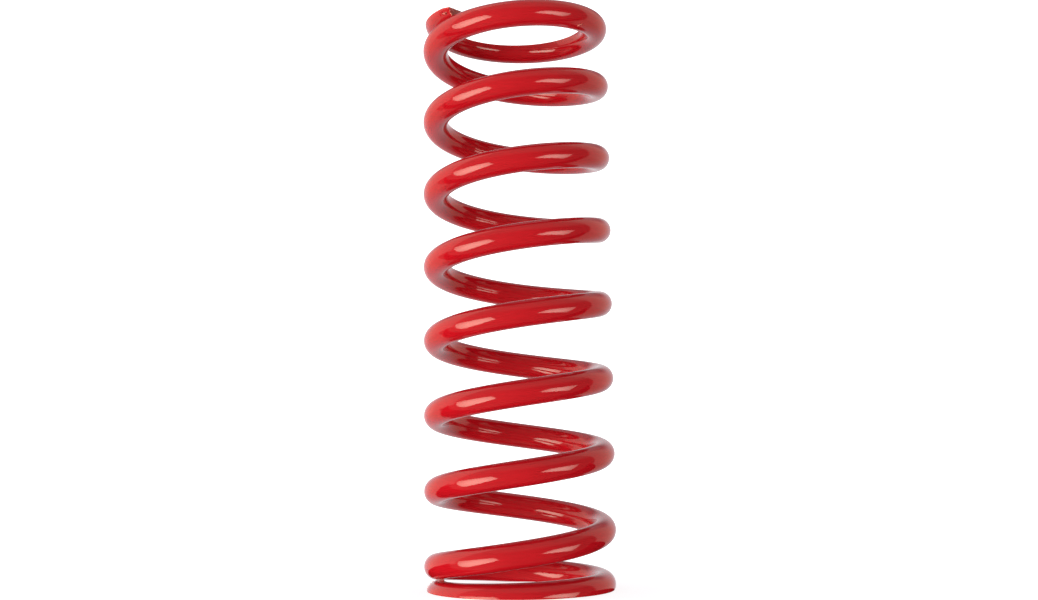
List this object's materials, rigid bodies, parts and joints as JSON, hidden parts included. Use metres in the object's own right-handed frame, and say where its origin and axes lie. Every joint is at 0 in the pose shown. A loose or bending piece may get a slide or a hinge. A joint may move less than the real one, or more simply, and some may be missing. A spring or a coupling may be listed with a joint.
{
  "type": "coil spring",
  "caption": "Red powder-coated coil-over compression spring, slightly barrel-shaped, right-hand wound from round wire, with closed and ground flat ends.",
  "frame": {"origin": "on the coil axis, on the lower ground face", "axes": "+Z along the coil axis to the upper ground face; the lower tip of the wire is on the -X side and the wire climbs anticlockwise as seen from above; -Y is the side that shows both wire tips near its left edge"},
  "size_m": [0.0858, 0.0858, 0.26],
  "materials": {
    "powder_coat": "glossy red powder coat over steel"
  },
  "bodies": {
    "lower_end_coil": {"lower_end_coil": "powder_coat"},
    "coil_1_front_right": {"coil_1_front_right": "powder_coat"},
    "coil_1_back_right": {"coil_1_back_right": "powder_coat"},
    "coil_1_back_left": {"coil_1_back_left": "powder_coat"},
    "coil_1_front_left": {"coil_1_front_left": "powder_coat"},
    "coil_2_front_right": {"coil_2_front_right": "powder_coat"},
    "coil_2_back_right": {"coil_2_back_right": "powder_coat"},
    "coil_2_back_left": {"coil_2_back_left": "powder_coat"},
    "coil_2_front_left": {"coil_2_front_left": "powder_coat"},
    "coil_3_front_right": {"coil_3_front_right": "powder_coat"},
    "coil_3_back_right": {"coil_3_back_right": "powder_coat"},
    "coil_3_back_left": {"coil_3_back_left": "powder_coat"},
    "coil_3_front_left": {"coil_3_front_left": "powder_coat"},
    "coil_4_front_right": {"coil_4_front_right": "powder_coat"},
    "coil_4_back_right": {"coil_4_back_right": "powder_coat"},
    "coil_4_back_left": {"coil_4_back_left": "powder_coat"},
    "coil_4_front_left": {"coil_4_front_left": "powder_coat"},
    "coil_5_front_right": {"coil_5_front_right": "powder_coat"},
    "coil_5_back_right": {"coil_5_back_right": "powder_coat"},
    "coil_5_back_left": {"coil_5_back_left": "powder_coat"},
    "coil_5_front_left": {"coil_5_front_left": "powder_coat"},
    "coil_6_front_right": {"coil_6_front_right": "powder_coat"},
    "coil_6_back_right": {"coil_6_back_right": "powder_coat"},
    "coil_6_back_left": {"coil_6_back_left": "powder_coat"},
    "coil_6_front_left": {"coil_6_front_left": "powder_coat"},
    "coil_7_front_right": {"coil_7_front_right": "powder_coat"},
    "coil_7_back_right": {"coil_7_back_right": "powder_coat"},
    "upper_end_coil": {"upper_end_coil": "powder_coat"}
  },
  "joints": [
    {"name": "twist_below_coil_1_front_right", "type": "hinge", "parent": "lower_end_coil", "child": "coil_1_front_right", "pos_m": [0.01371, -0.03463, 0.0201], "axis": [-0.9202, -0.3643, -0.143], "range_deg": [0, 2.1], "stiffness_Nm_per_rad": 250},
    {"name": "twist_below_coil_1_back_right", "type": "hinge", "parent": "coil_1_front_right", "child": "coil_1_back_right", "pos_m": [0.03463, 0.01371, 0.02856], "axis": [0.3643, -0.9202, -0.143], "range_deg": [0, 4.2], "stiffness_Nm_per_rad": 250},
    {"name": "twist_below_coil_1_back_left", "type": "hinge", "parent": "coil_1_back_right", "child": "coil_1_back_left", "pos_m": [-0.01371, 0.03463, 0.03701], "axis": [0.9202, 0.3643, -0.143], "range_deg": [0, 6.3], "stiffness_Nm_per_rad": 250},
    {"name": "compression_twist", "type": "hinge", "parent": "coil_1_back_left", "child": "coil_1_front_left", "pos_m": [-0.03463, -0.01371, 0.04546], "axis": [-0.3643, 0.9202, -0.143], "range_deg": [0, 8.4], "stiffness_Nm_per_rad": 250},
    {"name": "twist_below_coil_2_front_right", "type": "hinge", "parent": "coil_1_front_left", "child": "coil_2_front_right", "pos_m": [0.01371, -0.03463, 0.05392], "axis": [-0.9202, -0.3643, -0.143], "range_deg": [0, 8.4], "stiffness_Nm_per_rad": 250},
    {"name": "twist_below_coil_2_back_right", "type": "hinge", "parent": "coil_2_front_right", "child": "coil_2_back_right", "pos_m": [0.03463, 0.01371, 0.06237], "axis": [0.3643, -0.9202, -0.143], "range_deg": [0, 8.4], "stiffness_Nm_per_rad": 250},
    {"name": "twist_below_coil_2_back_left", "type": "hinge", "parent": "coil_2_back_right", "child": "coil_2_back_left", "pos_m": [-0.01371, 0.03463, 0.07083], "axis": [0.9202, 0.3643, -0.143], "range_deg": [0, 8.4], "stiffness_Nm_per_rad": 250},
    {"name": "twist_below_coil_2_front_left", "type": "hinge", "parent": "coil_2_back_left", "child": "coil_2_front_left", "pos_m": [-0.03463, -0.01371, 0.07928], "axis": [-0.3643, 0.9202, -0.143], "range_deg": [0, 8.4], "stiffness_Nm_per_rad": 250},
    {"name": "twist_below_coil_3_front_right", "type": "hinge", "parent": "coil_2_front_left", "child": "coil_3_front_right", "pos_m": [0.01371, -0.03463, 0.08773], "axis": [-0.9202, -0.3643, -0.143], "range_deg": [0, 8.4], "stiffness_Nm_per_rad": 250},
    {"name": "twist_below_coil_3_back_right", "type": "hinge", "parent": "coil_3_front_right", "child": "coil_3_back_right", "pos_m": [0.03463, 0.01371, 0.09619], "axis": [0.3643, -0.9202, -0.143], "range_deg": [0, 8.4], "stiffness_Nm_per_rad": 250},
    {"name": "twist_below_coil_3_back_left", "type": "hinge", "parent": "coil_3_back_right", "child": "coil_3_back_left", "pos_m": [-0.01371, 0.03463, 0.10464], "axis": [0.9202, 0.3643, -0.143], "range_deg": [0, 8.4], "stiffness_Nm_per_rad": 250},
    {"name": "twist_below_coil_3_front_left", "type": "hinge", "parent": "coil_3_back_left", "child": "coil_3_front_left", "pos_m": [-0.03463, -0.01371, 0.11309], "axis": [-0.3643, 0.9202, -0.143], "range_deg": [0, 8.4], "stiffness_Nm_per_rad": 250},
    {"name": "twist_below_coil_4_front_right", "type": "hinge", "parent": "coil_3_front_left", "child": "coil_4_front_right", "pos_m": [0.01371, -0.03463, 0.12155], "axis": [-0.9202, -0.3643, -0.143], "range_deg": [0, 8.4], "stiffness_Nm_per_rad": 250},
    {"name": "twist_below_coil_4_back_right", "type": "hinge", "parent": "coil_4_front_right", "child": "coil_4_back_right", "pos_m": [0.03463, 0.01371, 0.13], "axis": [0.3643, -0.9202, -0.143], "range_deg": [0, 8.4], "stiffness_Nm_per_rad": 250},
    {"name": "twist_below_coil_4_back_left", "type": "hinge", "parent": "coil_4_back_right", "child": "coil_4_back_left", "pos_m": [-0.01371, 0.03463, 0.13845], "axis": [0.9202, 0.3643, -0.143], "range_deg": [0, 8.4], "stiffness_Nm_per_rad": 250},
    {"name": "twist_below_coil_4_front_left", "type": "hinge", "parent": "coil_4_back_left", "child": "coil_4_front_left", "pos_m": [-0.03463, -0.01371, 0.14691], "axis": [-0.3643, 0.9202, -0.143], "range_deg": [0, 8.4], "stiffness_Nm_per_rad": 250},
    {"name": "twist_below_coil_5_front_right", "type": "hinge", "parent": "coil_4_front_left", "child": "coil_5_front_right", "pos_m": [0.01371, -0.03463, 0.15536], "axis": [-0.9202, -0.3643, -0.143], "range_deg": [0, 8.4], "stiffness_Nm_per_rad": 250},
    {"name": "twist_below_coil_5_back_right", "type": "hinge", "parent": "coil_5_front_right", "child": "coil_5_back_right", "pos_m": [0.03463, 0.01371, 0.16381], "axis": [0.3643, -0.9202, -0.143], "range_deg": [0, 8.4], "stiffness_Nm_per_rad": 250},
    {"name": "twist_below_coil_5_back_left", "type": "hinge", "parent": "coil_5_back_right", "child": "coil_5_back_left", "pos_m": [-0.01371, 0.03463, 0.17227], "axis": [0.9202, 0.3643, -0.143], "range_deg": [0, 8.4], "stiffness_Nm_per_rad": 250},
    {"name": "twist_below_coil_5_front_left", "type": "hinge", "parent": "coil_5_back_left", "child": "coil_5_front_left", "pos_m": [-0.03463, -0.01371, 0.18072], "axis": [-0.3643, 0.9202, -0.143], "range_deg": [0, 8.4], "stiffness_Nm_per_rad": 250},
    {"name": "twist_below_coil_6_front_right", "type": "hinge", "parent": "coil_5_front_left", "child": "coil_6_front_right", "pos_m": [0.01371, -0.03463, 0.18917], "axis": [-0.9202, -0.3643, -0.143], "range_deg": [0, 8.4], "stiffness_Nm_per_rad": 250},
    {"name": "twist_below_coil_6_back_right", "type": "hinge", "parent": "coil_6_front_right", "child": "coil_6_back_right", "pos_m": [0.03463, 0.01371, 0.19763], "axis": [0.3643, -0.9202, -0.143], "range_deg": [0, 8.4], "stiffness_Nm_per_rad": 250},
    {"name": "twist_below_coil_6_back_left", "type": "hinge", "parent": "coil_6_back_right", "child": "coil_6_back_left", "pos_m": [-0.01371, 0.03463, 0.20608], "axis": [0.9202, 0.3643, -0.143], "range_deg": [0, 8.4], "stiffness_Nm_per_rad": 250},
    {"name": "twist_below_coil_6_front_left", "type": "hinge", "parent": "coil_6_back_left", "child": "coil_6_front_left", "pos_m": [-0.03463, -0.01371, 0.21454], "axis": [-0.3643, 0.9202, -0.143], "range_deg": [0, 8.4], "stiffness_Nm_per_rad": 250},
    {"name": "twist_below_coil_7_front_right", "type": "hinge", "parent": "coil_6_front_left", "child": "coil_7_front_right", "pos_m": [0.01371, -0.03463, 0.22299], "axis": [-0.9202, -0.3643, -0.143], "range_deg": [0, 6.3], "stiffness_Nm_per_rad": 250},
    {"name": "twist_below_coil_7_back_right", "type": "hinge", "parent": "coil_7_front_right", "child": "coil_7_back_right", "pos_m": [0.03463, 0.01371, 0.23144], "axis": [0.3643, -0.9202, -0.143], "range_deg": [0, 4.2], "stiffness_Nm_per_rad": 250},
    {"name": "twist_below_upper_end_coil", "type": "hinge", "parent": "coil_7_back_right", "child": "upper_end_coil", "pos_m": [-0.01371, 0.03463, 0.2399], "axis": [0.9202, 0.3643, -0.143], "range_deg": [0, 2.1], "stiffness_Nm_per_rad": 250}
  ],
  "couplings": [
    {"joint": "twist_below_coil_1_front_right", "follows": "compression_twist", "ratio": 0.25},
    {"joint": "twist_below_coil_1_back_right", "follows": "compression_twist", "ratio": 0.5},
    {"joint": "twist_below_coil_1_back_left", "follows": "compression_twist", "ratio": 0.75},
    {"joint": "twist_below_coil_2_front_right", "follows": "compression_twist", "ratio": 1},
    {"joint": "twist_below_coil_2_back_right", "follows": "compression_twist", "ratio": 1},
    {"joint": "twist_below_coil_2_back_left", "follows": "compression_twist", "ratio": 1},
    {"joint": "twist_below_coil_2_front_left", "follows": "compression_twist", "ratio": 1},
    {"joint": "twist_below_coil_3_front_right", "follows": "compression_twist", "ratio": 1},
    {"joint": "twist_below_coil_3_back_right", "follows": "compression_twist", "ratio": 1},
    {"joint": "twist_below_coil_3_back_left", "follows": "compression_twist", "ratio": 1},
    {"joint": "twist_below_coil_3_front_left", "follows": "compression_twist", "ratio": 1},
    {"joint": "twist_below_coil_4_front_right", "follows": "compression_twist", "ratio": 1},
    {"joint": "twist_below_coil_4_back_right", "follows": "compression_twist", "ratio": 1},
    {"joint": "twist_below_coil_4_back_left", "follows": "compression_twist", "ratio": 1},
    {"joint": "twist_below_coil_4_front_left", "follows": "compression_twist", "ratio": 1},
    {"joint": "twist_below_coil_5_front_right", "follows": "compression_twist", "ratio": 1},
    {"joint": "twist_below_coil_5_back_right", "follows": "compression_twist", "ratio": 1},
    {"joint": "twist_below_coil_5_back_left", "follows": "compression_twist", "ratio": 1},
    {"joint": "twist_below_coil_5_front_left", "follows": "compression_twist", "ratio": 1},
    {"joint": "twist_below_coil_6_front_right", "follows": "compression_twist", "ratio": 1},
    {"joint": "twist_below_coil_6_back_right", "follows": "compression_twist", "ratio": 1},
    {"joint": "twist_below_coil_6_back_left", "follows": "compression_twist", "ratio": 1},
    {"joint": "twist_below_coil_6_front_left", "follows": "compression_twist", "ratio": 1},
    {"joint": "twist_below_coil_7_front_right", "follows": "compression_twist", "ratio": 0.75},
    {"joint": "twist_below_coil_7_back_right", "follows": "compression_twist", "ratio": 0.5},
    {"joint": "twist_below_upper_end_coil", "follows": "compression_twist", "ratio": 0.25}
  ]
}
